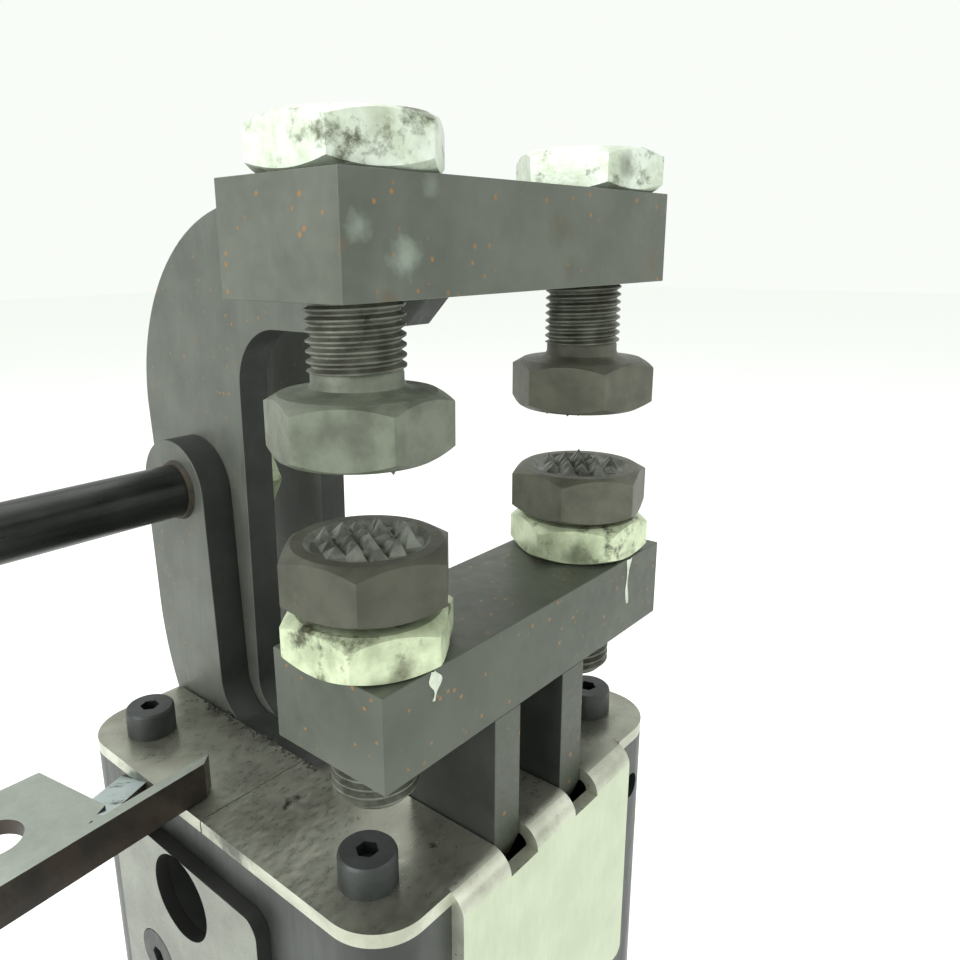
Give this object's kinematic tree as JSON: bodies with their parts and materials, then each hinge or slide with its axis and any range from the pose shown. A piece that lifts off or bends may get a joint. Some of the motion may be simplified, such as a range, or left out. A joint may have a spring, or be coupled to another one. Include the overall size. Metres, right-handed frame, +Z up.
{
  "type": "pneumatic clamping cylinder",
  "caption": "Square-bodied short-stroke pneumatic cylinder whose piston swings a C-shaped upper jaw onto a fixed lower jaw, with toothed gripper bolts, a hand lever and a side bracket.",
  "frame": {"origin": "centre of the flat bottom face of the end cap, the mounting face", "axes": "+X along the two jaw crossbars, +Y towards the rear skirt and the air ports, +Z up along the cylinder axis towards the jaws"},
  "size_m": [0.1205, 0.0766, 0.2175],
  "materials": {
    "body_anodised": "black anodised, satin",
    "seal_rubber": "black nitrile",
    "black_screws": "black oxide",
    "bronze": "sintered bronze",
    "ground_steel": "ground",
    "piston_aluminium": "turned",
    "zinc_nuts": "zinc plated, grimy",
    "plated_sheet": "plated sheet, satin",
    "bracket_steel": "plated, rust on the edges",
    "jaw_steel": "black oxide with light rust",
    "handle_steel": "black oxide, oily",
    "bolt_steel": "dark oiled steel"
  },
  "bodies": {
    "cylinder": {"end_cap": "body_anodised", "cylinder_tube": "body_anodised", "tube_orings": "seal_rubber", "tie_screws": "black_screws", "housing": "body_anodised", "rod_bush": "bronze", "rod_seal": "seal_rubber", "rod_wiper": "seal_rubber", "pivot_bushes": "bronze", "pivot_pin": "ground_steel", "pivot_washer": "ground_steel", "front_cover": "plated_sheet", "rear_cover": "plated_sheet", "cover_screws": "black_screws", "left_side_plate": "plated_sheet", "right_side_plate": "plated_sheet", "side_plate_screws": "black_screws", "side_bracket": "bracket_steel", "lower_crossbar": "jaw_steel", "lower_leg_left": "jaw_steel", "lower_leg_right": "jaw_steel", "leg_dowels": "ground_steel", "lower_gripper_bolts": "bolt_steel", "lower_jam_nuts": "zinc_nuts"},
    "piston": {"piston": "piston_aluminium", "piston_seals": "seal_rubber", "piston_nut": "zinc_nuts", "piston_rod": "ground_steel", "crosshead": "jaw_steel", "drive_pin": "ground_steel", "cam_rollers": "ground_steel"},
    "upper_jaw": {"upper_arm_left": "jaw_steel", "upper_arm_right": "jaw_steel", "hand_lever": "jaw_steel", "handle_rod": "handle_steel", "handle_nut": "zinc_nuts", "arm_spacer": "ground_steel", "upper_crossbar": "jaw_steel", "upper_gripper_bolts": "bolt_steel", "upper_jam_nuts": "zinc_nuts"}
  },
  "joints": [
    {"name": "piston_slide", "type": "slide", "parent": "cylinder", "child": "piston", "axis": [0, 0, -1], "range_m": [0, 0.012]},
    {"name": "upper_jaw_hinge", "type": "hinge", "parent": "cylinder", "child": "upper_jaw", "pos_m": [0, 0.0033, 0.1236], "axis": [-1, 0, 0], "range_deg": [0, 30]}
  ],
  "couplings": [
    {"joint": "upper_jaw_hinge", "follows": "piston_slide", "rad_per_m": 43.633}
  ]
}
